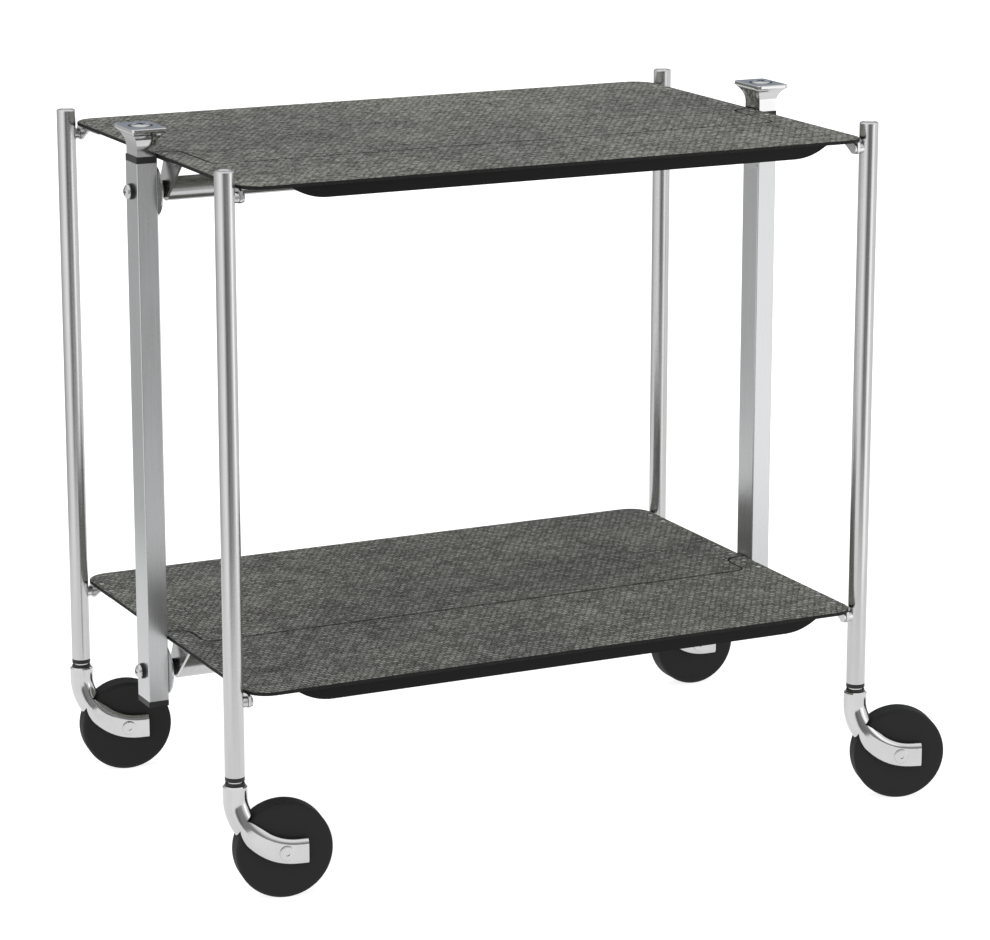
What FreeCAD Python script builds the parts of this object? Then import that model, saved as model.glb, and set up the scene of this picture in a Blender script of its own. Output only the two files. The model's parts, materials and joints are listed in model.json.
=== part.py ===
"""Folding serving cart: two split trays on four caster legs, lifted by two centre posts.

Millimetres, +Z up. X runs along the trays, Y from front to back. The origin lies on the floor
under the middle of the whole object's box.
"""

import FreeCAD, Part
import os
import re
from math import cos, pi, radians, sin

import Sketcher
from FreeCAD import Placement, Rotation, Vector

SIZES = {
    # legs
    "leg_span": 650, "leg_depth": 407, "leg_radius": 9, "leg_wall": 1.5,
    "leg_top": 664.2, "cap_rise": 2.2, "cap_plug": 12,
    "bush_ring": 4, "bush_depth": 27,
    # posts
    "post_width": 20, "post_depth": 30, "post_wall": 1.5, "post_round": 1.2,
    "post_bottom": 134, "post_top": 645, "foot_thick": 5.6, "collar_thick": 6, "plug_depth": 16,
    "collar_plug_depth": 12,
    # handles
    "neck_width": 18, "neck_depth": 28, "plate_width": 34, "plate_depth": 50, "plate_thick": 3,
    "neck_straight": 7, "flare_height": 17, "plate_round": 4,
    "seat_radius": 11.5, "seat_depth": 4, "grip_screw_radius": 9.4, "grip_screw_shank": 3,
    "grip_screw_dome": 1.8,
    # fold pivots
    "pivot_top": 618, "shelf_spacing": 457, "bolt_radius": 3, "bolt_head_radius": 6.6,
    "bolt_head_thick": 4.4, "bolt_washer_radius": 7.4, "bolt_washer_thick": 1.6,
    "disc_radius": 25, "disc_thick": 1.5, "spacer_radius": 8,
    "tube_radius": 11, "tube_wall": 1.5, "tube_plug": 14,
    # trays
    "panel_rise": 32, "panel_thick": 3, "tray_overhang": 18.5, "tray_corner": 24,
    "seam_top": 90, "seam_low": 47, "seam_gap": 1.2, "tongue_width": 24, "tongue_round": 16,
    "notch_round": 9, "panel_edge": 0.5, "end_clearance": 0.6,
    "rail_depth": 11, "rail_thick": 8, "rail_setback": 1.5, "rail_end": 45, "rail_ramp": 18,
    # brackets
    "ear_thick": 2.5, "ear_inset": 11.9, "flange_width": 10, "flange_thick": 2,
    "pivot_ear_radius": 8, "pivot_flange_near": 6, "pivot_flange_far": 50,
    "lug_rise": 24, "lug_ear_radius": 5.5, "lug_ear_root": 30,
    "lug_flange_near": 10.5, "lug_flange_far": 54,
    "lug_pin_radius": 2.5, "lug_spacer_radius": 5.1, "lug_head_radius": 5, "lug_head_thick": 1.9,
    "running_fit": 0.08, "side_clearance": 0.3,
    # rivets
    "rivet_radius": 1.6, "rivet_head_radius": 3.1, "rivet_head_thick": 1.2,
    "rivet_sink": 1.25, "rivet_head_gap": 0.15, "rivet_tail_gap": 0.1, "rivet_tail_thick": 1.1,
    "rivet_near": 14, "rivet_far": 42, "rivet_lug_near": 16.5, "rivet_lug_far": 44.5,
    # casters
    "wheel_radius": 45, "wheel_width": 24, "wheel_round": 4, "hub_radius": 10, "hub_width": 28.4,
    "trail": 43, "trail_wheel": 45, "axle_radius": 4, "axle_head_radius": 7, "axle_head_thick": 1.8,
    "fork_width": 36.5, "fork_gap": 29, "fork_depth": 25.5, "fork_round": 6, "fork_reach": 10,
    "fork_drop": 0.5, "section_flat": 0.05,
    "bend_extra": 8.5, "neck_radius": 11.2, "neck_step": 0.15, "neck_height": 10.6, "neck_edge": 1.4,
    "wheel_clearance": 3.5, "stem_collar_radius": 7.2, "stem_collar_height": 4.1,
    "stem_radius": 5.5, "stem_depth": 27,
    "yaw_front_left": -9, "yaw_front_right": -17, "yaw_back_left": -7.5, "yaw_back_right": 0,
    # where the origin lies from the middle of the four legs
    "origin_x": 0, "origin_y": 0,
}

doc = FreeCAD.newDocument("folding_cart")
sheet = doc.addObject("Spreadsheet::Sheet", "Sizes")
CELL = {}
for row, (alias, number) in enumerate(SIZES.items(), start=1):
    CELL[alias] = f"B{row}"
    sheet.set(f"A{row}", alias)
    sheet.set(f"B{row}", str(number))
    sheet.setAlias(f"B{row}", alias)
doc.recompute()

NODES = []


def cell(text):
    """The expression with every size name pointed at the sheet."""
    def pointed(word):
        return f"Sizes.{word[0]}" if word[0] in SIZES else word[0]

    return re.sub(r"[A-Za-z_]\w*", pointed, str(text))


def number(text):
    value = sheet.evalExpression(cell(text))
    return float(getattr(value, "Value", value))


def bind(thing, **rules):
    for prop, text in rules.items():
        thing.setExpression(prop.replace("__", "."), cell(text))


def place(thing, x, y, z):
    for axis, text in (("x", x), ("y", y), ("z", z)):
        thing.setExpression(f"Placement.Base.{axis}", cell(text))


TURN = {"x": Rotation(Vector(0, 1, 0), 90), "y": Rotation(Vector(1, 0, 0), -90), "z": Rotation()}


def cylinder(name, radius, height, x=0, y=0, z=0, axis="z"):
    thing = doc.addObject("Part::Cylinder", name)
    bind(thing, Radius=radius, Height=height)
    thing.Placement = Placement(Vector(), TURN[axis])
    place(thing, x, y, z)
    return thing


def box(name, length, width, height, x, y, z):
    thing = doc.addObject("Part::Box", name)
    bind(thing, Length=length, Width=width, Height=height)
    place(thing, x, y, z)
    return thing


def cut(name, base, *tools):
    thing = doc.addObject("Part::Cut", name)
    thing.Base = base
    thing.Tool = tools[0] if len(tools) == 1 else fuse(f"{name}_tools", *tools)
    return thing


def fuse(name, *pieces):
    thing = doc.addObject("Part::MultiFuse", name)
    thing.Shapes = list(pieces)
    return thing


def group(name, *pieces):
    thing = doc.addObject("Part::Compound", name)
    thing.Links = list(pieces)
    return thing


def mirrored(piece):
    thing = doc.addObject("Part::Mirroring", f"{piece.Name}_mirrored")
    thing.Source = piece
    thing.Base = Vector()
    thing.Normal = Vector(1, 0, 0)
    return thing


def both_ends(name, *pieces):
    return group(name, *pieces, *[mirrored(piece) for piece in pieces])


def new_body(name):
    return doc.addObject("PartDesign::Body", name)


def sketch_on(body, name, plane, offset="0"):
    sketch = body.newObject("Sketcher::SketchObject", name)
    face = next(item for item in body.Origin.OriginFeatures if item.Role == f"{plane}_Plane")
    sketch.AttachmentSupport = [(face, "")]
    sketch.MapMode = "FlatFace"
    sketch.setExpression("AttachmentOffset.Base.z", cell(offset))
    return sketch


def pin_point(sketch, geometry, point, x, y):
    for kind, text in (("DistanceX", x), ("DistanceY", y)):
        index = sketch.addConstraint(
            Sketcher.Constraint(kind, -1, 1, geometry, point, number(text))
        )
        sketch.setExpression(f"Constraints[{index}]", cell(text))


def outline(sketch, points):
    """A closed loop of straight lines, each corner held at its own place."""
    spots = [Vector(number(x), number(y), 0) for x, y in points]
    first = sketch.GeometryCount
    for start, end in zip(spots, spots[1:] + spots[:1]):
        sketch.addGeometry(Part.LineSegment(start, end))
    for step in range(len(spots)):
        here = first + step
        following = first + (step + 1) % len(spots)
        sketch.addConstraint(Sketcher.Constraint("Coincident", here, 2, following, 1))
        pin_point(sketch, here, 1, *points[step])


def circle(sketch, x, y, radius):
    middle = Vector(number(x), number(y), 0)
    here = sketch.addGeometry(Part.Circle(middle, Vector(0, 0, 1), number(radius)))
    index = sketch.addConstraint(Sketcher.Constraint("Radius", here, number(radius)))
    sketch.setExpression(f"Constraints[{index}]", cell(radius))
    pin_point(sketch, here, 3, x, y)


def pad(body, sketch, length, reverse=False, middle=False):
    feature = body.newObject("PartDesign::Pad", f"{sketch.Name}_pad")
    feature.Profile = sketch
    feature.Reversed = reverse
    feature.Midplane = middle
    bind(feature, Length=length)
    doc.recompute()
    return feature


def pocket(body, sketch, length):
    feature = body.newObject("PartDesign::Pocket", f"{sketch.Name}_pocket")
    feature.Profile = sketch
    bind(feature, Length=length)
    doc.recompute()
    return feature


def revolve(body, sketch, axis):
    feature = body.newObject("PartDesign::Revolution", f"{sketch.Name}_turned")
    feature.Profile = sketch
    feature.ReferenceAxis = (sketch, [axis])
    feature.Angle = 360
    doc.recompute()
    return feature


def edges_where(shape, test):
    return [f"Edge{n}" for n, edge in enumerate(shape.Edges, start=1) if test(edge)]


def dress(body, kind, edges, **rules):
    """A fillet or chamfer on named edges of the body's tip."""
    base = body.Tip
    feature = body.newObject(f"PartDesign::{kind}", f"{body.Name}_{kind}_{len(body.Group)}")
    feature.Base = (base, edges)
    bind(feature, **rules)
    doc.recompute()
    return feature


def corner_test(spots, across):
    """Edges that run square to a plane and stand on one of the given corners of it."""
    first, second = across

    def test(edge):
        ends = [vertex.Point for vertex in edge.Vertexes]
        if len(ends) != 2 or ends[0].distanceToPoint(ends[1]) < 1e-6:
            return False
        for spot in spots:
            if all(
                abs(getattr(end, first) - spot[0]) < 1e-3 and abs(getattr(end, second) - spot[1]) < 1e-3
                for end in ends
            ):
                return True
        return False

    return test


def round_corners(body, spots, across, radius):
    wanted = [(number(a), number(b)) for a, b in spots]
    edges = edges_where(body.Shape, corner_test(wanted, across))
    if len(edges) != len(spots):
        raise RuntimeError(f"{body.Name}: {len(edges)} corners found, {len(spots)} wanted")
    dress(body, "Fillet", edges, Radius=radius)


def node(name, thing, x="0", y="0", z="0", turn="0"):
    """Names a finished sub-part and sets it in its place in the cart."""
    thing.Label = name
    thing.Placement = Placement(Vector(), Rotation(Vector(0, 0, 1), 0))
    place(thing, f"({x}) - origin_x", f"({y}) - origin_y", z)
    thing.setExpression("Placement.Rotation.Angle", cell(turn))
    NODES.append(thing)


def copy_at(name, piece, x, y, turn="0"):
    """Sets one more of a shared piece in its place in the cart."""
    node(name, group(f"{name}_copy", piece), x, y, turn=turn)


LEG_X = "leg_span / 2"
LEG_Y = "leg_depth / 2"
POST_FACE = "post_width / 2"
TRAY_END = "(leg_span / 2 - max(post_width / 2; leg_radius) - end_clearance)"
TRAY_SIDE = "(leg_depth / 2 + tray_overhang)"
EAR_X = "(leg_span / 2 - max(post_width / 2; leg_radius) - end_clearance - ear_inset)"
FLANGE_EDGE = f"({EAR_X} + flange_width)"
OUTER_EAR_X = f"({FLANGE_EDGE} - ear_thick)"
RIVET_X = f"({EAR_X} + flange_width / 2)"
PIVOT_LOW = "(pivot_top - shelf_spacing)"
LEG_BORE = "(leg_radius - leg_wall)"
# the trail is given for one radius of wheel, and a larger wheel stands as much farther out
AXLE_X = "(trail + wheel_radius - trail_wheel)"
BEND_RADIUS = "(wheel_radius + bend_extra)"
BEND_RISE = f"(wheel_radius + {BEND_RADIUS} - fork_drop)"
NECK_TOP = f"({BEND_RISE} + neck_height)"
BUSH_LOW = f"({NECK_TOP} + stem_collar_height + side_clearance)"
LEG_BOTTOM = f"({BUSH_LOW} + bush_ring)"


CORNERS = (
    ("front_left", f"-({LEG_X})", f"-({LEG_Y})", "0", "yaw_front_left"),
    ("front_right", LEG_X, f"-({LEG_Y})", "180", "yaw_front_right"),
    ("back_left", f"-({LEG_X})", LEG_Y, "0", "yaw_back_left"),
    ("back_right", LEG_X, LEG_Y, "180", "yaw_back_right"),
)


# ---- legs -------------------------------------------------------------------------------------

def leg_tube():
    tall = f"leg_top - {LEG_BOTTOM}"
    holes = [
        cylinder(f"leg_{level}_hole", "lug_pin_radius", "leg_radius", z=f"{pivot} + lug_rise", axis="x")
        for level, pivot in (("upper", "pivot_top"), ("lower", PIVOT_LOW))
    ]
    return cut(
        "leg_tube_body", cylinder("leg_tube_skin", "leg_radius", tall, z=LEG_BOTTOM),
        cylinder("leg_tube_bore", LEG_BORE, tall, z=LEG_BOTTOM), *holes)


def leg_cap():
    """A plug with a raised ring round a dished middle."""
    cap = new_body("leg_cap_body")
    section = sketch_on(cap, "leg_cap_section", "XZ")
    outline(section, [
        ("0", "leg_top - cap_plug"), (LEG_BORE, "leg_top - cap_plug"), (LEG_BORE, "leg_top"),
        ("leg_radius", "leg_top"), ("leg_radius", "leg_top + cap_rise * 0.55"),
        ("leg_radius * 0.8", "leg_top + cap_rise"), ("leg_radius * 0.55", "leg_top + cap_rise * 0.5"),
        ("0", "leg_top + cap_rise * 0.3"),
    ])
    revolve(cap, section, "V_Axis")
    rings = (number("leg_radius"), number("leg_radius * 0.8"))
    low = number("leg_top") + 0.1
    crest = edges_where(cap.Shape, lambda edge: (
        edge.BoundBox.ZMin > low and edge.BoundBox.ZLength < 1e-3
        and min(abs(edge.BoundBox.XMax - ring) for ring in rings) < 1e-3))
    dress(cap, "Fillet", crest, Radius="cap_rise * 0.45")
    return cap


def leg_bush():
    """The black bush in the bottom of a leg that the caster's stem turns in."""
    bush = new_body("leg_bush_body")
    section = sketch_on(bush, "leg_bush_section", "XZ")
    bore = "stem_radius + running_fit"
    outline(section, [
        (bore, BUSH_LOW), ("leg_radius", BUSH_LOW), ("leg_radius", LEG_BOTTOM), (LEG_BORE, LEG_BOTTOM),
        (LEG_BORE, f"{LEG_BOTTOM} + bush_depth"), (bore, f"{LEG_BOTTOM} + bush_depth"),
    ])
    revolve(bush, section, "V_Axis")
    return bush


def leg_pin(level, height):
    """A shouldered pin that stands out of the leg and carries a tray ear."""
    label = f"{level}_pin"
    reach = f"(leg_span / 2 - {OUTER_EAR_X})"
    root = "leg_radius * 0.45"
    collar = cylinder(
        f"{label}_collar", "lug_spacer_radius", f"{reach} - ear_thick - side_clearance - {root}",
        x=root, z=height, axis="x")
    skin = cylinder(f"{label}_leg_skin", "leg_radius", "4 * leg_radius", z=f"{height} - 2 * leg_radius")
    shank = cylinder(
        f"{label}_shank", "lug_pin_radius", f"{reach} + side_clearance - {root}", x=root, z=height,
        axis="x")
    head = cylinder(
        f"{label}_head", "lug_head_radius", "lug_head_thick", x=f"{reach} + side_clearance",
        z=height, axis="x")
    return fuse(label, head, shank, cut(f"{label}_seated", collar, skin))


def legs():
    tube = leg_tube()
    cap = leg_cap()
    bush = leg_bush()
    pins = group("leg_pins", leg_pin("upper", "pivot_top + lug_rise"),
                 leg_pin("lower", f"{PIVOT_LOW} + lug_rise"))
    for corner, x, y, facing, _ in CORNERS:
        copy_at(f"{corner}_leg_tube", tube, x, y, facing)
        copy_at(f"{corner}_leg_cap", cap, x, y)
        copy_at(f"{corner}_leg_bush", bush, x, y)
        copy_at(f"{corner}_leg_pins", pins, x, y, facing)


# ---- casters ----------------------------------------------------------------------------------

def bend_section(angle, ahead, width, depth, corner):
    """A rounded rectangle set square to the fork's bend, at an angle round it."""
    sketch = doc.addObject("Sketcher::SketchObject", f"fork_section_{angle}_{'end' if ahead else 'bend'}")
    side, deep = f"({width}) / 2", f"({depth}) / 2"
    near, low = f"({side} - ({corner}))", f"({deep} - ({corner}))"
    runs = [
        (f"-{near}", f"-{deep}", near, f"-{deep}"), (side, f"-{low}", side, low),
        (near, deep, f"-{near}", deep), (f"-{side}", low, f"-{side}", f"-{low}"),
    ]
    for x1, y1, x2, y2 in runs:
        here = sketch.addGeometry(Part.LineSegment(
            Vector(number(x1), number(y1), 0), Vector(number(x2), number(y2), 0)))
        pin_point(sketch, here, 1, x1, y1)
        pin_point(sketch, here, 2, x2, y2)
    radius = number(corner)
    middles = [(near, f"-{low}"), (near, low), (f"-{near}", low), (f"-{near}", f"-{low}")]
    for turn, (x, y) in enumerate(middles):
        ring = Part.Circle(Vector(number(x), number(y), 0), Vector(0, 0, 1), radius)
        start = (turn - 1) * pi / 2
        here = sketch.addGeometry(Part.ArcOfCircle(ring, start, start + pi / 2))
        sketch.addConstraint(Sketcher.Constraint("Coincident", here, 1, turn, 2))
        sketch.addConstraint(Sketcher.Constraint("Coincident", here, 2, (turn + 1) % 4, 1))
        index = sketch.addConstraint(Sketcher.Constraint("Radius", here, radius))
        sketch.setExpression(f"Constraints[{index}]", cell(corner))
    c, s = cos(radians(angle)), sin(radians(angle))
    sketch.Placement = Placement(
        Vector(), Rotation(Vector(0, 1, 0), Vector(c, 0, s), Vector(s, 0, -c), "ZXY"))
    place(sketch, f"{BEND_RADIUS} * (1 - cos({angle})) + {ahead}", "0",
          f"{BEND_RISE} - {BEND_RADIUS} * sin({angle})")
    return sketch


# degrees round the bend, and how far the width, depth and squareness have grown by there
BEND_STEPS = (
    (0, 0, 0, 0), (15, 0.22, 0.1, 0.1), (30, 0.66, 0.3, 0.3), (45, 0.92, 0.55, 0.6),
    (60, 1, 0.8, 0.85), (75, 1, 0.95, 1), (90, 1, 1, 1),
)


def fork_arm():
    """The bend of the fork, round at the neck and widening to two flat cheeks."""
    slim = "(2 * (neck_radius - neck_step))"
    roundest = "(neck_radius - neck_step - section_flat)"
    sections = []
    for angle, wider, deeper, squarer in BEND_STEPS:
        width = f"{slim} + {wider} * (fork_width - {slim})"
        depth = f"{slim} + {deeper} * (fork_depth - {slim})"
        corner = f"{roundest} - {squarer} * ({roundest} - fork_round)"
        sections.append(bend_section(angle, "0", width, depth, corner))
    sections.append(bend_section(90, "fork_reach", "fork_width", "fork_depth", "fork_round"))
    arm = doc.addObject("Part::Loft", "fork_arm")
    arm.Sections = sections
    arm.Solid = True
    return arm


def caster_fork():
    """A bent metal fork, open round the wheel, with the neck and stem that turn in the leg."""
    neck = new_body("fork_neck")
    section = sketch_on(neck, "fork_neck_section", "XZ")
    outline(section, [
        ("0", BEND_RISE), ("neck_radius", BEND_RISE), ("neck_radius", f"{NECK_TOP} - neck_edge"),
        ("neck_radius - neck_edge", NECK_TOP), ("stem_collar_radius", NECK_TOP),
        ("stem_collar_radius", f"{BUSH_LOW} - side_clearance"),
        ("stem_radius", f"{BUSH_LOW} - side_clearance"), ("stem_radius", f"{BUSH_LOW} + stem_depth"),
        ("0", f"{BUSH_LOW} + stem_depth"),
    ])
    revolve(neck, section, "V_Axis")
    return cut(
        "fork_body", fuse("fork_blank", fork_arm(), neck),
        cylinder("fork_wheel_room", "wheel_radius + wheel_clearance", "fork_gap", x=AXLE_X,
                 y="-fork_gap / 2", z="wheel_radius", axis="y"),
        cylinder("fork_axle_hole", "axle_radius", "fork_width", x=AXLE_X, y="-fork_width / 2",
                 z="wheel_radius", axis="y"))


def caster_axle():
    half = "fork_width / 2"
    axle = fuse(
        "axle_blank",
        cylinder("axle_shank", "axle_radius", "fork_width", x=AXLE_X, y=f"-{half}",
                 z="wheel_radius", axis="y"),
        cylinder("axle_head", "axle_head_radius", "axle_head_thick", x=AXLE_X,
                 y=f"-{half} - axle_head_thick", z="wheel_radius", axis="y"),
        cylinder("axle_nut", "axle_head_radius", "axle_head_thick", x=AXLE_X, y=half,
                 z="wheel_radius", axis="y"))
    doc.recompute()
    rounded = doc.addObject("Part::Fillet", "axle_rounded")
    rounded.Base = axle
    far = number("fork_width / 2 + axle_head_thick")
    size = number("axle_head_thick * 0.5")
    rounded.Edges = [
        (n, size, size) for n, edge in enumerate(axle.Shape.Edges, start=1)
        if edge.BoundBox.YLength < 1e-3 and abs(abs(edge.BoundBox.Center.y) - far) < 1e-3
    ]
    socket = cylinder("axle_socket", "axle_radius * 0.55", "axle_head_thick * 0.6", x=AXLE_X,
                      y=f"-{half} - axle_head_thick", z="wheel_radius", axis="y")
    return cut("axle_body", rounded, socket)


def caster_wheel():
    """A plain black wheel with a raised hub on each side."""
    wheel = new_body("wheel_body")
    section = sketch_on(wheel, "wheel_section", "YZ", AXLE_X)
    bore = "wheel_radius + axle_radius + running_fit"
    outline(section, [
        ("-hub_width / 2", bore), ("-hub_width / 2", "wheel_radius + hub_radius"),
        ("-wheel_width / 2", "wheel_radius + hub_radius"),
        ("-wheel_width / 2", "2 * wheel_radius"), ("wheel_width / 2", "2 * wheel_radius"),
        ("wheel_width / 2", "wheel_radius + hub_radius"),
        ("hub_width / 2", "wheel_radius + hub_radius"), ("hub_width / 2", bore),
    ])
    middle = section.addGeometry(
        Part.LineSegment(Vector(-10, number("wheel_radius"), 0), Vector(10, number("wheel_radius"), 0)),
        True)
    pin_point(section, middle, 1, "-wheel_width / 2", "wheel_radius")
    pin_point(section, middle, 2, "wheel_width / 2", "wheel_radius")
    revolve(wheel, section, "Axis0")
    tread = number("wheel_radius")
    shoulder = edges_where(wheel.Shape, lambda edge: (
        edge.BoundBox.YLength < 1e-3 and edge.BoundBox.ZLength > 2 * tread - 1))
    dress(wheel, "Fillet", shoulder, Radius="wheel_round")
    return wheel


def casters():
    fork = caster_fork()
    axle = caster_axle()
    wheel = caster_wheel()
    for corner, x, y, _, yaw in CORNERS:
        copy_at(f"{corner}_caster_fork", fork, x, y, yaw)
        copy_at(f"{corner}_caster_axle", axle, x, y, yaw)
        copy_at(f"{corner}_caster_wheel", wheel, x, y, yaw)


# ---- centre frame -----------------------------------------------------------------------------

def rounded_block(name, width, depth, low, high, radius):
    """An upright rectangular block with its four corners rounded."""
    body = new_body(name)
    section = sketch_on(body, f"{name}_plan", "XY", low)
    across = [(f"-{width} / 2", f"-{depth} / 2"), (f"{width} / 2", f"-{depth} / 2"),
              (f"{width} / 2", f"{depth} / 2"), (f"-{width} / 2", f"{depth} / 2")]
    outline(section, across)
    pad(body, section, f"({high}) - ({low})")
    round_corners(body, across, ("x", "y"), radius)
    return body


def end_post(prefix, x, turn):
    """A rectangular tube with a foot cap, a top collar and the flared handle on it."""
    bore = "(post_width - 2 * post_wall)"
    bore_depth = "(post_depth - 2 * post_wall)"
    tall = "post_top - post_bottom"
    skin = rounded_block(f"{prefix}_post_skin", "post_width", "post_depth", "post_bottom",
                         "post_top", "post_round")
    post = cut(
        f"{prefix}_post_body", skin,
        box(f"{prefix}_post_bore", bore, bore_depth, tall, f"-{bore} / 2", f"-{bore_depth} / 2",
            "post_bottom"),
        cylinder(f"{prefix}_post_upper_hole", "bolt_radius", "post_width", x="-post_width / 2",
                 z="pivot_top", axis="x"),
        cylinder(f"{prefix}_post_lower_hole", "bolt_radius", "post_width", x="-post_width / 2",
                 z=PIVOT_LOW, axis="x"))
    node(f"{prefix}_post", post, x, turn=turn)

    foot = fuse(
        f"{prefix}_foot_body",
        rounded_block(f"{prefix}_foot_pad", "post_width", "post_depth", "post_bottom - foot_thick",
                      "post_bottom", "post_round"),
        box(f"{prefix}_foot_plug", bore, bore_depth, "plug_depth", f"-{bore} / 2",
            f"-{bore_depth} / 2", "post_bottom"))
    node(f"{prefix}_post_foot", foot, x, turn=turn)

    collar = cut(
        f"{prefix}_collar_body",
        fuse(f"{prefix}_collar_blank",
             rounded_block(f"{prefix}_collar_ring", "post_width", "post_depth", "post_top",
                           "post_top + collar_thick", "post_round"),
             box(f"{prefix}_collar_plug", bore, bore_depth, "collar_plug_depth", f"-{bore} / 2",
                 f"-{bore_depth} / 2", "post_top - collar_plug_depth")),
        cylinder(f"{prefix}_collar_hole", "grip_screw_shank", "collar_thick + collar_plug_depth",
                 z="post_top - collar_plug_depth"))
    node(f"{prefix}_post_collar", collar, x, turn=turn)

    base = "(post_top + collar_thick)"
    flare = f"({base} + neck_straight)"
    plate = f"({flare} + flare_height)"
    neck = box(f"{prefix}_grip_neck", "plate_width", "plate_depth", f"{plate} - {base}",
               "-plate_width / 2", "-plate_depth / 2", base)
    hollows = []
    for side, sign in (("near", 1), ("far", -1)):
        out_x = "((plate_width - neck_width) / 2)"
        out_y = "((plate_depth - neck_depth) / 2)"
        bow_x = f"(({out_x} * {out_x} + flare_height * flare_height) / (2 * {out_x}))"
        bow_y = f"(({out_y} * {out_y} + flare_height * flare_height) / (2 * {out_y}))"
        hollows += [
            cylinder(f"{prefix}_grip_bow_x_{side}", bow_x, "2 * plate_depth",
                     x=f"{sign} * (neck_width / 2 + {bow_x})", y="-plate_depth", z=flare, axis="y"),
            cylinder(f"{prefix}_grip_bow_y_{side}", bow_y, "2 * plate_width",
                     x="-plate_width", y=f"{sign} * (neck_depth / 2 + {bow_y})", z=flare, axis="x"),
            box(f"{prefix}_grip_side_x_{side}", "plate_width", "2 * plate_depth",
                "neck_straight", f"{sign} * (neck_width / 2 + plate_width / 2) - plate_width / 2",
                "-plate_depth", base),
            box(f"{prefix}_grip_side_y_{side}", "2 * plate_width", "plate_depth",
                "neck_straight", "-plate_width",
                f"{sign} * (neck_depth / 2 + plate_depth / 2) - plate_depth / 2", base),
        ]
    top = rounded_block(f"{prefix}_grip_plate", "plate_width", "plate_depth", plate,
                        f"{plate} + plate_thick", "plate_round")
    upper = number(f"{plate} + plate_thick")
    lip = edges_where(top.Shape, lambda edge: (
        edge.BoundBox.ZLength < 1e-3 and abs(edge.BoundBox.ZMax - upper) < 1e-3))
    dress(top, "Fillet", lip, Radius="plate_thick * 0.3")
    handle = cut(
        f"{prefix}_grip_body",
        fuse(f"{prefix}_grip_blank", cut(f"{prefix}_grip_flare", neck, *hollows), top),
        cylinder(f"{prefix}_grip_seat", "seat_radius", "seat_depth + 1",
                 z=f"{plate} + plate_thick - seat_depth"),
        cylinder(f"{prefix}_grip_hole", "grip_screw_shank", f"{plate} + plate_thick - {base}",
                 z=base))
    node(f"{prefix}_handle", handle, x, turn=turn)


def cross_slot(name, size, depth, z):
    """Two crossed bars that sink a cross recess into a screw head facing along +Z."""
    long = f"({size} * 1.1)"
    thin = f"({size} * 0.24)"
    return fuse(
        name,
        box(f"{name}_one", long, thin, depth, f"-{long} / 2", f"-{thin} / 2", z),
        box(f"{name}_two", thin, long, depth, f"-{thin} / 2", f"-{long} / 2", z))


def grip_screw(name, x):
    """The large domed screw that holds a handle down on its post."""
    rim = "(post_top + collar_thick + neck_straight + flare_height + plate_thick)"
    seat = f"({rim} - seat_depth)"
    body = new_body(f"{name}_turning")
    section = sketch_on(body, f"{name}_section", "XZ")
    outline(section, [
        ("0", "post_top - collar_plug_depth"), ("grip_screw_shank", "post_top - collar_plug_depth"),
        ("grip_screw_shank", seat), ("grip_screw_radius", seat), ("grip_screw_radius", rim),
        ("grip_screw_radius * 0.93", f"{rim} + grip_screw_dome * 0.3"),
        ("grip_screw_radius * 0.75", f"{rim} + grip_screw_dome * 0.65"),
        ("grip_screw_radius * 0.45", f"{rim} + grip_screw_dome * 0.92"),
        ("0", f"{rim} + grip_screw_dome"),
    ])
    revolve(body, section, "V_Axis")
    slot = cross_slot(f"{name}_slot", "grip_screw_radius", "grip_screw_dome + 1", f"{rim} - 1")
    screw = cut(f"{name}_cut", body, slot)
    place(screw, x, "0", "0")
    return screw


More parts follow.
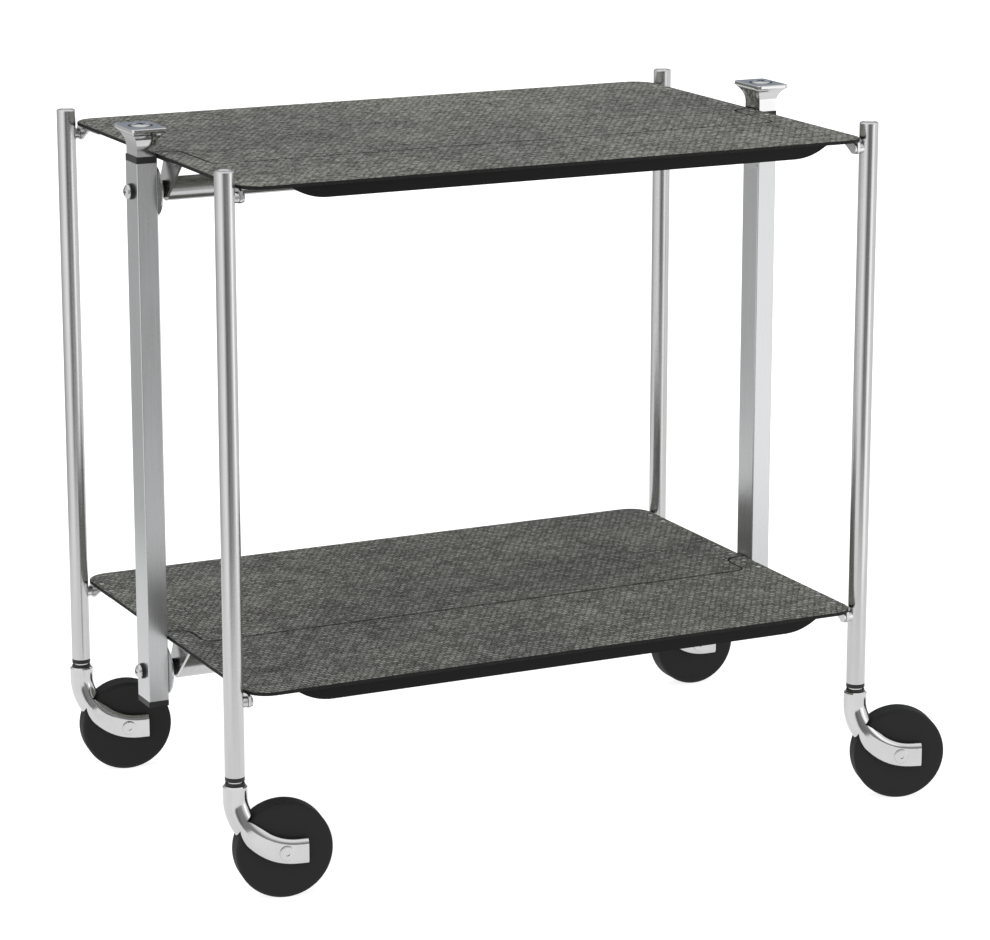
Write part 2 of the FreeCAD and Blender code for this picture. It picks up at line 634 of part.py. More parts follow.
def centre_frame():
    end_post("left", f"-({LEG_X})", "0")
    end_post("right", LEG_X, "180")
    screws = group("grip_screws", grip_screw("left_grip_screw", f"-({LEG_X})"),
                   grip_screw("right_grip_screw", LEG_X))
    node("handle_screws", screws)

    tube_end = f"({EAR_X} - side_clearance)"
    outer = f"({LEG_X} + {POST_FACE})"
    inner = f"({LEG_X} - {POST_FACE})"
    shaft = []
    washers = []
    discs = []
    plugs = []
    for level, height in (("upper", "pivot_top"), ("lower", PIVOT_LOW)):
        tube = cut(
            f"{level}_tube",
            cylinder(f"{level}_tube_skin", "tube_radius", f"2 * {tube_end}", x=f"-{tube_end}",
                     z=height, axis="x"),
            cylinder(f"{level}_tube_bore", "tube_radius - tube_wall", f"2 * {tube_end}",
                     x=f"-{tube_end}", z=height, axis="x"))
        node({"upper": "top", "lower": "lower"}[level] + "_stretcher_tube", tube)

        body = new_body(f"{level}_bolt_turning")
        section = sketch_on(body, f"{level}_bolt_section", "XZ")
        head = f"{outer} + 2 * bolt_washer_thick"
        outline(section, [
            (f"{tube_end} - tube_plug", height), (f"{head} + bolt_head_thick", height),
            (f"{head} + bolt_head_thick * 0.9", f"{height} + bolt_head_radius * 0.5"),
            (f"{head} + bolt_head_thick * 0.55", f"{height} + bolt_head_radius * 0.88"),
            (f"{head} + bolt_head_thick * 0.2", f"{height} + bolt_head_radius"),
            (head, f"{height} + bolt_head_radius"), (head, f"{height} + bolt_radius"),
            (f"{tube_end} - tube_plug", f"{height} + bolt_radius"),
        ])
        axis = section.addGeometry(
            Part.LineSegment(Vector(0, number(height), 0), Vector(9, number(height), 0)), True)
        pin_point(section, axis, 1, "0", height)
        pin_point(section, axis, 2, "leg_span / 2", height)
        revolve(body, section, "Axis0")
        slot = fuse(
            f"{level}_bolt_slot",
            box(f"{level}_bolt_slot_one", "bolt_head_thick", "bolt_head_radius * 0.24",
                "bolt_head_radius * 1.1", f"{head} + bolt_head_thick * 0.5",
                "-bolt_head_radius * 0.12", f"{height} - bolt_head_radius * 0.55"),
            box(f"{level}_bolt_slot_two", "bolt_head_thick", "bolt_head_radius * 1.1",
                "bolt_head_radius * 0.24", f"{head} + bolt_head_thick * 0.5",
                "-bolt_head_radius * 0.55", f"{height} - bolt_head_radius * 0.12"))
        shaft.append(cut(f"{level}_bolt", body, slot))

        for ring, radius, start, thick in (
            ("flat", "bolt_washer_radius", outer, "bolt_washer_thick"),
            ("lock", "bolt_washer_radius - 1", f"{outer} + bolt_washer_thick", "bolt_washer_thick"),
            ("spacer", "spacer_radius", f"{FLANGE_EDGE} + side_clearance",
             f"{inner} - disc_thick - ({FLANGE_EDGE} + side_clearance)"),
            ("middle", "spacer_radius", f"{EAR_X} + ear_thick + side_clearance",
             "flange_width - 2 * ear_thick - 2 * side_clearance"),
        ):
            washers.append(cut(
                f"{level}_{ring}_washer",
                cylinder(f"{level}_{ring}_skin", radius, thick, x=start, z=height, axis="x"),
                cylinder(f"{level}_{ring}_hole", "bolt_radius", thick, x=start, z=height, axis="x")))
        discs.append(cut(
            f"{level}_disc",
            cylinder(f"{level}_disc_skin", "disc_radius", "disc_thick", x=f"{inner} - disc_thick",
                     z=height, axis="x"),
            cylinder(f"{level}_disc_hole", "bolt_radius", "disc_thick", x=f"{inner} - disc_thick",
                     z=height, axis="x")))
        plugs.append(cut(
            f"{level}_plug",
            cylinder(f"{level}_plug_skin", "tube_radius - tube_wall", "tube_plug",
                     x=f"{tube_end} - tube_plug", z=height, axis="x"),
            cylinder(f"{level}_plug_hole", "bolt_radius", "tube_plug", x=f"{tube_end} - tube_plug",
                     z=height, axis="x")))
    node("pivot_bolts", both_ends("bolts", *shaft))
    node("pivot_washers", both_ends("washers", *washers))
    node("pivot_discs", both_ends("discs", *discs))
    node("tube_plugs", both_ends("plugs", *plugs))


# ---- trays ------------------------------------------------------------------------------------

def rivet_spots(side):
    rows = ["rivet_near", "rivet_far", f"{LEG_Y} - rivet_lug_near", f"{LEG_Y} - rivet_lug_far"]
    return [(f"{end} * {RIVET_X}", f"{side} * ({row})") for end in (-1, 1) for row in rows]


def front_panel_points(seam):
    edge = f"-({seam} + seam_gap / 2)"
    tip = "-seam_gap / 2"
    tongue = f"({TRAY_END} - tongue_width)"
    outer = [(f"-{TRAY_END}", f"-{TRAY_SIDE}"), (TRAY_END, f"-{TRAY_SIDE}")]
    tongues = [(tongue, tip), (f"-{tongue}", tip)]
    notches = [(tongue, edge), (f"-{tongue}", edge)]
    loop = [outer[0], outer[1], (TRAY_END, tip), tongues[0], notches[0], notches[1], tongues[1],
            (f"-{TRAY_END}", tip)]
    return loop, outer, tongues, notches


def back_panel_points(seam):
    edge = f"-({seam} - seam_gap / 2)"
    tip = "seam_gap / 2"
    tongue = f"({TRAY_END} - tongue_width - seam_gap)"
    outer = [(f"-{TRAY_END}", TRAY_SIDE), (TRAY_END, TRAY_SIDE)]
    notches = [(f"-{tongue}", tip), (tongue, tip)]
    tongues = [(f"-{tongue}", edge), (tongue, edge)]
    loop = [outer[0], (f"-{TRAY_END}", tip), notches[0], tongues[0], tongues[1], notches[1],
            (TRAY_END, tip), outer[1]]
    return loop, outer, tongues, notches


def pivot_ear(name, side, inner_face):
    """A bent plate: a flange under the tray and an ear that turns on the pivot bolt."""
    body = new_body(name)
    face = sketch_on(body, f"{name}_ear", "YZ", inner_face)
    reach = "pivot_ear_radius"
    tip = [(f"{side} * {reach}", f"-{reach}"), (f"{-side} * {reach}", f"-{reach}")]
    outline(face, [
        (f"{side} * pivot_flange_far", "panel_rise"), (f"{side} * pivot_flange_near", "panel_rise"),
        (f"{-side} * {reach}", f"{reach} * 0.6"), tip[1], tip[0],
    ])
    circle(face, "0", "0", "bolt_radius + running_fit")
    pad(body, face, "ear_thick")
    round_corners(body, tip, ("y", "z"), f"{reach} * 0.9")
    flange(body, name, side, "pivot_flange_near", "pivot_flange_far", ["rivet_near", "rivet_far"])
    return body


def lug_ear(name, side):
    """A bent plate at a tray corner whose ear takes the pin of the leg."""
    body = new_body(name)
    face = sketch_on(body, f"{name}_ear", "YZ", OUTER_EAR_X)
    low = "lug_rise - lug_ear_radius"
    out = f"({LEG_Y} + lug_ear_radius)"
    tip = [(f"{side} * {out}", low), (f"{side} * ({LEG_Y} - lug_ear_radius)", low)]
    outline(face, [
        (f"{side} * ({LEG_Y} - lug_ear_root)", "panel_rise"), tip[1], tip[0],
        (f"{side} * {out}", "panel_rise - 2"), (f"{side} * {LEG_Y}", "panel_rise"),
    ])
    circle(face, f"{side} * {LEG_Y}", "lug_rise", "lug_pin_radius + running_fit")
    pad(body, face, "ear_thick")
    round_corners(body, tip[:1], ("y", "z"), "lug_ear_radius * 0.9")
    flange(body, name, side, f"({LEG_Y} - lug_flange_far)", f"({LEG_Y} - lug_flange_near)",
           [f"{LEG_Y} - rivet_lug_near", f"{LEG_Y} - rivet_lug_far"])
    return body


def flange(body, name, side, near, far, rivet_rows):
    plan = sketch_on(body, f"{name}_flange", "XY", "panel_rise - flange_thick")
    outline(plan, [
        (EAR_X, f"{side} * {near}"), (FLANGE_EDGE, f"{side} * {near}"),
        (FLANGE_EDGE, f"{side} * {far}"), (EAR_X, f"{side} * {far}"),
    ])
    for row in rivet_rows:
        circle(plan, RIVET_X, f"{side} * ({row})", "rivet_radius")
    pad(body, plan, "flange_thick")


def tray_half(prefix, side, seam, height, ears):
    """One half of a tray: textured panel, edge rail, four brackets and eight rivets."""
    points = front_panel_points(seam) if side < 0 else back_panel_points(seam)
    loop, outer, tongues, notches = points
    panel = new_body(f"{prefix}_sheet")
    plan = sketch_on(panel, f"{prefix}_sheet_plan", "XY", "panel_rise")
    outline(plan, loop)
    for x, y in rivet_spots(side):
        circle(plan, x, y, "rivet_radius")
    pad(panel, plan, "panel_thick")
    round_corners(panel, outer, ("x", "y"), "tray_corner")
    ease = "seam_gap"
    if side < 0:
        round_corners(panel, tongues, ("x", "y"), "tongue_round")
        round_corners(panel, notches, ("x", "y"), f"notch_round + {ease}")
    else:
        round_corners(panel, notches, ("x", "y"), f"tongue_round + {ease}")
        round_corners(panel, tongues, ("x", "y"), "notch_round")
    sinks = sketch_on(panel, f"{prefix}_rivet_sinks", "XY", "panel_rise + panel_thick")
    for x, y in rivet_spots(side):
        circle(sinks, x, y, "rivet_head_radius + rivet_head_gap")
    pocket(panel, sinks, "rivet_sink")
    high = number("panel_rise + panel_thick")
    rim = edges_where(panel.Shape, lambda edge: (
        abs(edge.BoundBox.ZMin - high) < 1e-3 and edge.BoundBox.ZLength < 1e-3
        and len(edge.Vertexes) == 2))
    dress(panel, "Chamfer", rim, Size="panel_edge")
    node(f"{prefix}_panel", panel, z=height)

    rail = new_body(f"{prefix}_edge_rail")
    outside = f"({TRAY_SIDE} - rail_setback)"
    front = sketch_on(rail, f"{prefix}_rail_side", "XZ", f"{-side} * ({outside})")
    top_end = f"({TRAY_END} - rail_end)"
    low_end = f"({TRAY_END} - rail_end - rail_ramp)"
    low = "panel_rise - rail_depth"
    outline(front, [
        (f"-{top_end}", "panel_rise"), (f"-{low_end}", low), (low_end, low), (top_end, "panel_rise"),
    ])
    pad(rail, front, "rail_thick", reverse=side < 0)
    round_corners(rail, [(f"-{low_end}", low), (low_end, low)], ("x", "z"), "rail_ramp * 3.2")
    node(f"{prefix}_rail", rail, z=height)

    node(f"{prefix}_brackets", both_ends(f"{prefix}_ears", *ears), z=height)

    spots = rivet_spots(side)
    rivets = new_body(f"{prefix}_rivet_set")
    rivets.AllowCompound = True
    seat = "(panel_rise + panel_thick - rivet_sink)"
    under = "(panel_rise - flange_thick)"
    for part, radius, low, thick in (
        ("shank", "rivet_radius", under, f"{seat} - {under}"),
        ("head", "rivet_head_radius", seat, "rivet_head_thick"),
        ("tail", "flange_width / 2 - ear_thick - rivet_tail_gap", f"{under} - rivet_tail_thick",
         "rivet_tail_thick"),
    ):
        plan = sketch_on(rivets, f"{prefix}_rivet_{part}", "XY", low)
        for x, y in spots:
            circle(plan, x, y, radius)
        pad(rivets, plan, thick)
    crown = number(f"{seat} + rivet_head_thick")
    rim = edges_where(rivets.Shape, lambda edge: (
        abs(edge.BoundBox.ZMin - crown) < 1e-3 and edge.BoundBox.ZLength < 1e-3))
    dress(rivets, "Fillet", rim, Radius="rivet_head_thick * 0.8")
    node(f"{prefix}_rivets", rivets, z=height)


def trays():
    front_ears = [pivot_ear("front_pivot_ear", -1, EAR_X), lug_ear("front_lug_ear", -1)]
    back_ears = [pivot_ear("back_pivot_ear", 1, OUTER_EAR_X), lug_ear("back_lug_ear", 1)]
    for level, seam, height in (("top", "seam_top", "pivot_top"), ("lower", "seam_low", PIVOT_LOW)):
        tray_half(f"{level}_tray_front", -1, seam, height, front_ears)
        tray_half(f"{level}_tray_back", 1, seam, height, back_ears)


# ---- assembly ---------------------------------------------------------------------------------

def settle_origin():
    """Sets the origin under the middle of the whole object's box."""
    whole = Part.makeCompound([thing.Shape for thing in NODES]).optimalBoundingBox(False)
    for alias, middle in (
        ("origin_x", (whole.XMin + whole.XMax) / 2), ("origin_y", (whole.YMin + whole.YMax) / 2),
    ):
        sheet.set(CELL[alias], f"{middle:.3f}")
    doc.recompute()
    print(f"origin {number('origin_x'):.3f} {number('origin_y'):.3f}")
    print(f"size {whole.XLength:.2f} {whole.YLength:.2f} {whole.ZLength:.2f} low {whole.ZMin:.3f}")


def check():
    for thing in doc.Objects:
        if {"Invalid", "Error"} & set(thing.State):
            raise RuntimeError(f"{thing.Name}: {thing.State}")
    for thing in NODES:
        if thing.Shape.isNull() or not thing.Shape.isValid():
            raise RuntimeError(f"{thing.Label}: bad shape")


centre_frame()
trays()
legs()
casters()
doc.recompute()
check()
settle_origin()
check()
os.makedirs("parts", exist_ok=True)
for thing in NODES:
    thing.Shape.exportStep(f"parts/{thing.Label}.step")
    print(f"{thing.Label} solids {len(thing.Shape.Solids)} volume {thing.Shape.Volume:.1f}")
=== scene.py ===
"""Looks for the folding bar cart: materials, small trim, floor, lights and camera."""

import json
import math

import bmesh
import bpy
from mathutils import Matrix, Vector


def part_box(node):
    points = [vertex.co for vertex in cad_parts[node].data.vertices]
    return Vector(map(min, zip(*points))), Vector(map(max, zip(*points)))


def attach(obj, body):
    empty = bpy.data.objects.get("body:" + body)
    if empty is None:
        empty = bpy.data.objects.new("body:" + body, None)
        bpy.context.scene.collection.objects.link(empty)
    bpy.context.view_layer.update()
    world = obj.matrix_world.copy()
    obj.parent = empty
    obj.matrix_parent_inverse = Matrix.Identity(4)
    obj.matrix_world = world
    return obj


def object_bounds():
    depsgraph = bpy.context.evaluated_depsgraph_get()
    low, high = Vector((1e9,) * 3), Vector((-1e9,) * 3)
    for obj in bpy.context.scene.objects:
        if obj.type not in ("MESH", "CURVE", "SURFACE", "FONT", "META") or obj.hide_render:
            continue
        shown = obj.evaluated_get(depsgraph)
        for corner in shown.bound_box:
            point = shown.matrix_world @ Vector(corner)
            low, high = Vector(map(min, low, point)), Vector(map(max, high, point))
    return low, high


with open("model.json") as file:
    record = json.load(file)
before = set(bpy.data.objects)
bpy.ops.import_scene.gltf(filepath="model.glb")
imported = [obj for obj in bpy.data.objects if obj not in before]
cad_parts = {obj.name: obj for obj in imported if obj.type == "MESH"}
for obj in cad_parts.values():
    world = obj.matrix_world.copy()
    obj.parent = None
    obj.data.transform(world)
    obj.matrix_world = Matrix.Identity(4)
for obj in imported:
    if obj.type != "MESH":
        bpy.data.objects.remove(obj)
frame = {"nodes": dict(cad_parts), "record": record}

CAD_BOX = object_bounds()
CENTRE = (CAD_BOX[0] + CAD_BOX[1]) / 2
NODES = frame["nodes"]
CORNERS = ("front_left", "front_right", "back_left", "back_right")
MM = 0.001

# the camera: degrees round the object and above the floor, metres from its middle
AZIMUTH, ELEVATION = -25.92, 13.90
DISTANCE, SIDEWAYS, RAISED = 3.582, -0.0048, -0.0216
LENS = 134.03

# the floor, in metres: the part near the object, and the part that fills the view
NEAR_FLOOR, FAR_FLOOR = 1.25, 25.0
FLOOR_GLOW = 0.84

# how bright the studio looks in metal: degrees to the right of the camera, brightness
HORIZON = (
    (-180, 0.70), (-128, 0.48), (-95, 0.64), (-70, 0.88), (-50, 1.02), (-32, 1.10), (-16, 0.62),
    (-2, 0.14), (8, 0.16), (20, 0.24), (38, 0.26), (62, 0.70), (90, 0.88), (140, 0.76), (180, 0.70),
)
SKY_LIGHT = 0.80
CEILING = 0.95
BACK_WALL = 0.30

# the black ring on a caster's stem, in millimetres: its section, and its place below the bush
SEAL_SECTION = ((7.3, 0.0), (8.6, 0.0), (9.0, 0.5), (9.0, 1.9), (8.5, 2.5), (7.3, 2.5))
STEM_GAP = 4.4

# one cell of the laminate's weave, in millimetres, and the gap round it
WEAVE_WIDTH, WEAVE_HEIGHT, WEAVE_GAP = 6.6, 5.2, 1.05


# ---------------------------------------------------------------- shader helpers

def grey(value, tint=(1.0, 1.0, 1.0)):
    return (value * tint[0], value * tint[1], value * tint[2], 1.0)


class Nodes:
    """A node tree, with short ways to add, set and join nodes."""

    def __init__(self, tree):
        self.tree = tree

    def add(self, kind, inputs=None, **settings):
        node = self.tree.nodes.new(f"ShaderNode{kind}")
        for setting, value in settings.items():
            setattr(node, setting, value)
        for socket, value in (inputs or {}).items():
            self.feed(node.inputs[socket], value)
        return node

    def feed(self, socket, value):
        """Joins a socket to another node's output, or sets it to a plain value."""
        if isinstance(value, bpy.types.NodeSocket):
            self.tree.links.new(value, socket)
        else:
            socket.default_value = value

    def remap(self, value, low, high, start=0.0, end=1.0):
        inputs = {"Value": value, "From Min": start, "From Max": end, "To Min": low, "To Max": high}
        return self.add("MapRange", inputs).outputs["Result"]

    def math(self, operation, first, second=0.0, third=0.0):
        return self.add("Math", {0: first, 1: second, 2: third}, operation=operation).outputs[0]

    def vector_math(self, operation, first, second):
        return self.add("VectorMath", {0: first, 1: second}, operation=operation).outputs[0]

    def mix(self, factor, first, second, blend="MIX"):
        node = self.add("Mix", data_type="RGBA", blend_type=blend)
        for name, kind, value in (("Factor", "VALUE", factor), ("A", "RGBA", first), ("B", "RGBA", second)):
            self.feed(next(s for s in node.inputs if s.name == name and s.type == kind), value)
        return next(s for s in node.outputs if s.type == "RGBA")


class Shader(Nodes):
    """One material and its nodes."""

    def __init__(self, name, **sockets):
        self.material = bpy.data.materials.new(name)
        self.material.use_nodes = True
        super().__init__(self.material.node_tree)
        self.surface = self.tree.nodes["Principled BSDF"]
        for socket, value in sockets.items():
            self.surface.inputs[socket.replace("_", " ")].default_value = value

    def drive(self, socket, source):
        self.tree.links.new(source, self.surface.inputs[socket])

    def stretched(self, scale):
        """Where a point lies on the object at rest, in metres, stretched by this much."""
        place = self.add("TexCoord").outputs["Object"]
        return self.add("Mapping", {"Vector": place, "Scale": scale}).outputs["Vector"]

    def noise(self, scale, detail=3.0, roughness=0.55):
        inputs = {"Vector": self.stretched(scale), "Scale": 1.0, "Detail": detail, "Roughness": roughness}
        return self.add("TexNoise", inputs).outputs["Fac"]

    def spread(self, noise, low, high):
        """The middle of a noise stretched over a range."""
        return self.remap(noise, low, high, 0.3, 0.7)

    def bump(self, height, strength, distance):
        inputs = {"Height": height, "Strength": strength, "Distance": distance}
        self.drive("Normal", self.add("Bump", inputs).outputs["Normal"])


# ---------------------------------------------------------------- materials

def brushed_metal(name, dark, light, rough, grain, bump, tint=(1.0, 1.0, 1.0)):
    """Metal with fine lines along Z and a faint cloudy film."""
    shader = Shader(name, Metallic=1.0)
    lines = shader.noise(grain, detail=4.0)
    film = shader.noise((14, 14, 7))
    both = shader.math("MULTIPLY_ADD", film, 0.5, shader.math("MULTIPLY", lines, 0.5))
    tone = shader.mix(shader.spread(both, 0.0, 1.0), grey(dark, tint), grey(light, tint))
    shader.drive("Base Color", tone)
    shader.drive("Roughness", shader.spread(both, *rough))
    shader.bump(lines, bump, 0.02 * MM)
    return shader.material


def polished_metal(name, level, rough):
    """Bright plating: nearly clean, with faint smears and tiny waves in the surface."""
    shader = Shader(name, Metallic=1.0)
    smear = shader.noise((45, 45, 30), detail=5.0, roughness=0.65)
    waves = shader.noise((90, 90, 90), detail=2.0)
    tone = shader.mix(shader.remap(smear, 0.0, 1.0, 0.35, 0.7), grey(level), grey(level * 0.93))
    shader.drive("Base Color", tone)
    shader.drive("Roughness", shader.spread(smear, *rough))
    shader.bump(waves, 0.08, 0.2 * MM)
    return shader.material


def moulded_black(name, level, rough, grain, bump, specular):
    """Moulded black plastic or rubber: fine grain and a slightly uneven, dusty sheen."""
    shader = Shader(name, Specular_IOR_Level=specular)
    fine = shader.noise((grain, grain, grain))
    broad = shader.noise((18, 18, 18), detail=4.0, roughness=0.6)
    tone = shader.mix(shader.remap(broad, 0.0, 1.0, 0.3, 0.75), grey(level),
                      grey(level * 1.25, (1.0, 0.99, 0.97)))
    shader.drive("Base Color", tone)
    shader.drive("Roughness", shader.spread(broad, *rough))
    shader.bump(fine, bump, 0.05 * MM)
    return shader.material


def tray_laminate():
    """Embossed woven laminate, near black on every face that does not face up or down, which paints shade
    into the seam between the halves: bright dashes along X, in staggered rows.
    """
    shader = Shader("tray_laminate", Specular_IOR_Level=0.28)
    in_mm = shader.stretched((1000, 1000, 1000))
    wander = shader.add("TexNoise", {"Vector": in_mm, "Scale": 0.07, "Detail": 3.0}).outputs["Color"]
    offset = shader.vector_math("SUBTRACT", wander, (0.5, 0.5, 0.5))
    drift = shader.vector_math("MULTIPLY", offset, (2.4, 2.4, 0.0))
    weave = shader.add("TexBrick", {
        "Vector": shader.vector_math("ADD", in_mm, drift), "Scale": 1.0,
        "Mortar Size": WEAVE_GAP, "Mortar Smooth": 0.8, "Bias": -0.1,
        "Brick Width": WEAVE_WIDTH, "Row Height": WEAVE_HEIGHT,
        "Color1": grey(0.30), "Color2": grey(1.0), "Mortar": grey(0.0),
    }, offset=0.5, offset_frequency=2)
    thread = shader.noise((160, 1400, 400), detail=2.0)
    fleck = shader.noise((420, 800, 500))
    patch = shader.noise((16, 24, 10), detail=4.0, roughness=0.6)
    broad = shader.noise((4.5, 6.0, 1.0), detail=2.0)
    level = shader.math("MULTIPLY", shader.spread(thread, 0.5, 1.3), weave.outputs["Color"])
    level = shader.math("ADD", level, shader.spread(fleck, -0.60, 0.60))
    level = shader.math("ADD", level, shader.spread(patch, -0.10, 0.10))
    colour = shader.mix(shader.remap(level, 0.0, 1.0, -0.1, 1.3), grey(0.003, (1.0, 1.02, 0.92)),
                        grey(0.44, (1.0, 1.0, 0.88)))
    # painted sheen: broad random patches, a little bluish where darker, multiplied into the laminate's
    # colour
    sheen = shader.mix(shader.remap(broad, 0.0, 1.0, 0.35, 0.65), grey(0.82, (0.99, 1.0, 1.05)),
                       grey(1.12, (1.0, 1.0, 0.99)))
    colour = shader.mix(1.0, colour, sheen, blend="MULTIPLY")
    # painted shade: every face that does not face up or down is near black, so the seam between the tray
    # halves reads dark
    upright = shader.add("SeparateXYZ", {0: shader.add("TexCoord").outputs["Normal"]}).outputs["Z"]
    flat = shader.remap(shader.math("ABSOLUTE", upright), 0.0, 1.0, 0.90, 0.97)
    side_and_seam_shade = shader.mix(shader.spread(fleck, 0.0, 1.0), grey(0.004), grey(0.009))
    shader.drive("Base Color", shader.mix(flat, side_and_seam_shade, colour))
    shader.drive("Roughness", shader.remap(level, 0.72, 0.50, 0.0, 1.2))
    shader.bump(level, 0.6, 0.30 * MM)
    return shader.material


def paint_nodes():
    """Gives every CAD node the material of its slot in the record."""
    made = {
        "satin_steel": brushed_metal("satin_steel", 0.60, 0.71, (0.18, 0.28), (900, 900, 25), 0.25),
        "satin_aluminium": brushed_metal("satin_aluminium", 0.60, 0.70, (0.24, 0.33), (1400, 1400, 12),
                                         0.35, (0.99, 1.0, 1.01)),
        "polished_metal": polished_metal("polished_metal", 0.74, (0.07, 0.16)),
        "bright_steel": polished_metal("bright_steel", 0.70, (0.16, 0.28)),
        "black_plastic": moulded_black("black_plastic", 0.012, (0.35, 0.5), 900, 0.2, 0.35),
        "tray_laminate": tray_laminate(),
        "black_rail": moulded_black("black_rail", 0.005, (0.42, 0.56), 500, 0.15, 0.16),
        "wheel_black": moulded_black("wheel_black", 0.012, (0.60, 0.75), 700, 0.25, 0.24),
    }
    slots = {part["node"]: part["material_slot"] for part in frame["record"]["subparts"]}
    for name, node in NODES.items():
        node.data.materials.clear()
        node.data.materials.append(made[slots[name]])
    return made


# ---------------------------------------------------------------- trim pieces

def lathe(name, profile, centre, steps=64):
    """A ring turned about a vertical line, from a closed profile of (radius, height)."""
    mesh = bpy.data.meshes.new(name)
    work = bmesh.new()
    rings = []
    for step in range(steps):
        angle = 2 * math.pi * step / steps
        turn = Vector((math.cos(angle), math.sin(angle), 0))
        rings.append([work.verts.new(centre + turn * r + Vector((0, 0, z))) for r, z in profile])
    for here, there in zip(rings, rings[1:] + rings[:1]):
        for a in range(len(profile)):
            b = (a + 1) % len(profile)
            work.faces.new((here[a], there[a], there[b], here[b]))
    bmesh.ops.recalc_face_normals(work, faces=work.faces)
    work.to_mesh(mesh)
    work.free()
    piece = bpy.data.objects.new(name, mesh)
    bpy.context.scene.collection.objects.link(piece)
    return piece


def stem_seals(material):
    """A black ring round each caster stem, in the gap between the fork's neck and the leg's bush."""
    section = [(radius * MM, height * MM) for radius, height in SEAL_SECTION]
    for corner in CORNERS:
        low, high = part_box(f"{corner}_leg_bush")
        foot = Vector(((low.x + high.x) / 2, (low.y + high.y) / 2, low.z - STEM_GAP * MM))
        ring = lathe(f"{corner}_stem_seal", section, foot)
        ring.data.materials.append(material)
        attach(ring, f"{corner}_fork")


# ---------------------------------------------------------------- stage, lights and camera

def disc(name, radius, height, material):
    bpy.ops.mesh.primitive_circle_add(vertices=96, radius=radius, fill_type="NGON", location=(0, 0, height))
    piece = bpy.context.object
    piece.name = name
    piece.data.materials.append(material)
    return piece


def floor():
    """A white floor, lit a little from below like a light table, so that shadows stay faint."""
    paper = Shader("floor_paper", Roughness=0.9, Specular_IOR_Level=0.0, Emission_Color=grey(1.0),
                   Emission_Strength=FLOOR_GLOW)
    paper.drive("Base Color", paper.mix(paper.noise((3, 3, 3)), grey(0.50), grey(0.53)))
    for name, radius, height in (("floor_near", NEAR_FLOOR, 0.0), ("floor_far", FAR_FLOOR, -1.0 * MM)):
        disc(name, radius, height, paper.material).visible_glossy = False

    # what metal mirrors in place of the floor, which is brighter than white paper
    mirrored = Shader("floor_in_metal", Roughness=0.9, Emission_Color=grey(1.0))
    cloud = mirrored.noise((2, 2, 2))
    mirrored.drive("Base Color", mirrored.mix(cloud, grey(0.02), grey(0.04)))
    mirrored.drive("Emission Strength", mirrored.spread(cloud, 0.78, 0.90))
    sheen = disc("floor_sheen", NEAR_FLOOR, 0.1 * MM, mirrored.material)
    sheen.visible_camera = False
    sheen.visible_diffuse = False
    sheen.visible_shadow = False


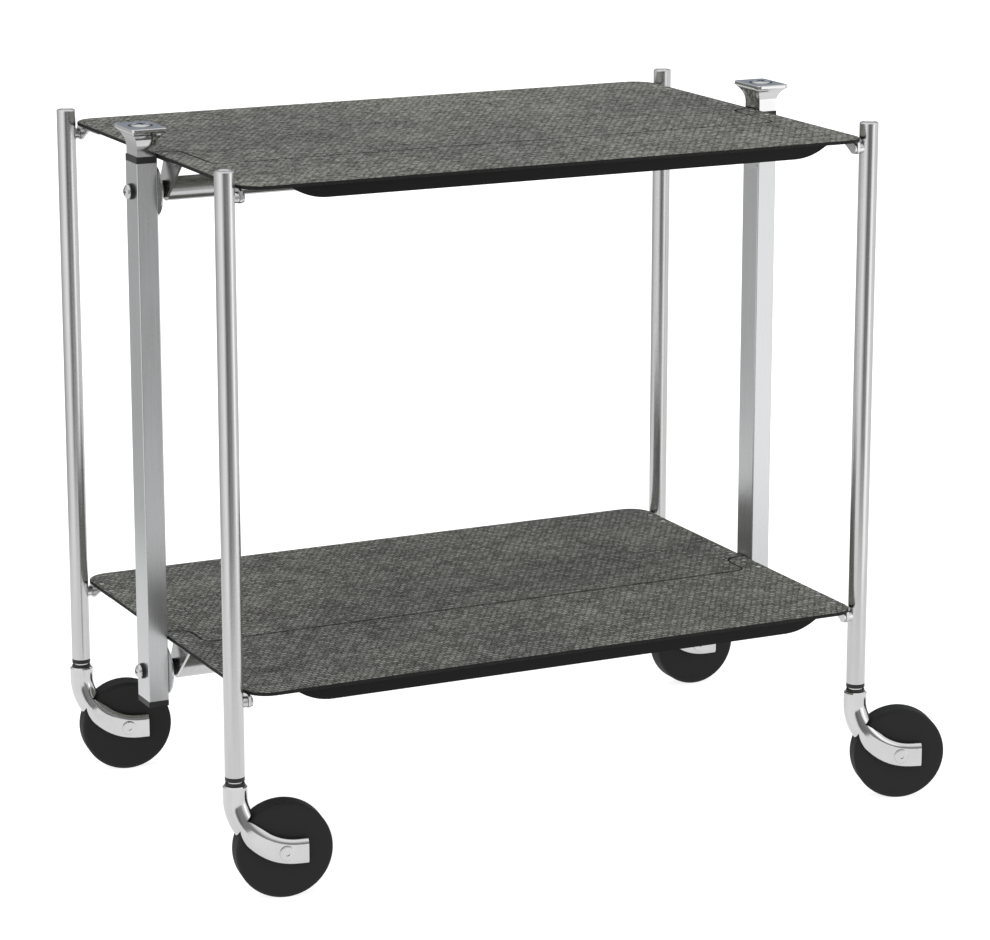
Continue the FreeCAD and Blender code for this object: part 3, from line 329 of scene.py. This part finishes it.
def studio_world():
    """White to the eye, with soft dark and bright bands round the horizon for metal to reflect."""
    world = bpy.data.worlds.new("studio")
    bpy.context.scene.world = world
    world.use_nodes = True
    world.node_tree.nodes.clear()
    nodes = Nodes(world.node_tree)

    direction = nodes.add("SeparateXYZ", {0: nodes.add("TexCoord").outputs["Generated"]})
    across, along, up = direction.outputs
    bearing = nodes.math("ARCTAN2", across, nodes.math("MULTIPLY", along, -1.0))
    turned = nodes.math("SUBTRACT", bearing, math.radians(AZIMUTH) - math.pi)
    share = nodes.math("FRACT", nodes.math("DIVIDE", turned, 2 * math.pi))
    ramp = nodes.add("ValToRGB", {"Fac": share})
    ramp.color_ramp.interpolation = "EASE"
    stops = ramp.color_ramp.elements
    while len(stops) < len(HORIZON):
        stops.new(0.5)
    for stop, (degrees, level) in zip(stops, HORIZON):
        stop.position = (degrees + 180) / 360
        stop.color = grey(level)

    overhead = nodes.remap(up, 0.0, 1.0, 0.35, 0.8)
    behind = nodes.math("ABSOLUTE", nodes.math("SUBTRACT", share, 0.5))
    wall = nodes.math("MULTIPLY", nodes.remap(behind, 0.0, 1.0, 0.36, 0.44),
                      nodes.remap(up, 0.0, 1.0, 0.03, 0.09))
    round_about = nodes.mix(wall, ramp.outputs["Color"], grey(BACK_WALL, (0.90, 0.97, 1.12)))
    mirror = nodes.mix(overhead, round_about, grey(CEILING))
    path = nodes.add("LightPath")
    light = nodes.mix(path.outputs["Is Glossy Ray"], grey(SKY_LIGHT), mirror)
    seen = nodes.mix(path.outputs["Is Camera Ray"], light, grey(1.0))
    background = nodes.add("Background", {"Color": seen})
    nodes.add("OutputWorld", {"Surface": background.outputs[0]})


def outward(azimuth, elevation):
    """The direction from the object towards a viewer at these angles."""
    a, e = math.radians(azimuth), math.radians(elevation)
    return Vector((math.sin(a) * math.cos(e), -math.cos(a) * math.cos(e), math.sin(e)))


def aim(piece, back):
    """Turns a lamp or camera to look against this direction, and puts it in the scene."""
    turn = back.to_track_quat("Z", "Y")
    piece.rotation_euler = turn.to_euler()
    bpy.context.scene.collection.objects.link(piece)
    return turn


def soft_sun(name, azimuth, elevation, strength, spread):
    lamp = bpy.data.lights.new(name, "SUN")
    lamp.energy = strength
    lamp.angle = math.radians(spread)
    piece = bpy.data.objects.new(name, lamp)
    piece.visible_glossy = False
    aim(piece, outward(azimuth, elevation))


def side_card(post):
    """A soft card seen only in metal, set where the front face of this post mirrors it."""
    low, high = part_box(post)
    face = Vector(((low.x + high.x) / 2, low.y, (low.z + high.z) / 2))
    lamp = bpy.data.lights.new("side_card", "AREA")
    lamp.shape = "RECTANGLE"
    lamp.size, lamp.size_y = 0.55, 1.1
    lamp.energy = 1.3
    piece = bpy.data.objects.new("side_card", lamp)
    piece.visible_diffuse = False
    back = outward(-AZIMUTH, -ELEVATION)
    piece.location = face + back
    aim(piece, back)


def camera():
    lens = bpy.data.cameras.new("camera")
    lens.lens = LENS
    lens.clip_end = 100
    piece = bpy.data.objects.new("camera", lens)
    turn = aim(piece, outward(AZIMUTH, ELEVATION))
    piece.location = CENTRE + turn @ Vector((SIDEWAYS, RAISED, DISTANCE))
    bpy.context.scene.camera = piece


materials = paint_nodes()
stem_seals(materials["black_plastic"])
floor()
studio_world()
soft_sun("key_light", azimuth=AZIMUTH - 30, elevation=58, strength=0.75, spread=50)
side_card("right_post")
camera()
bpy.context.scene.view_settings.view_transform = "Standard"
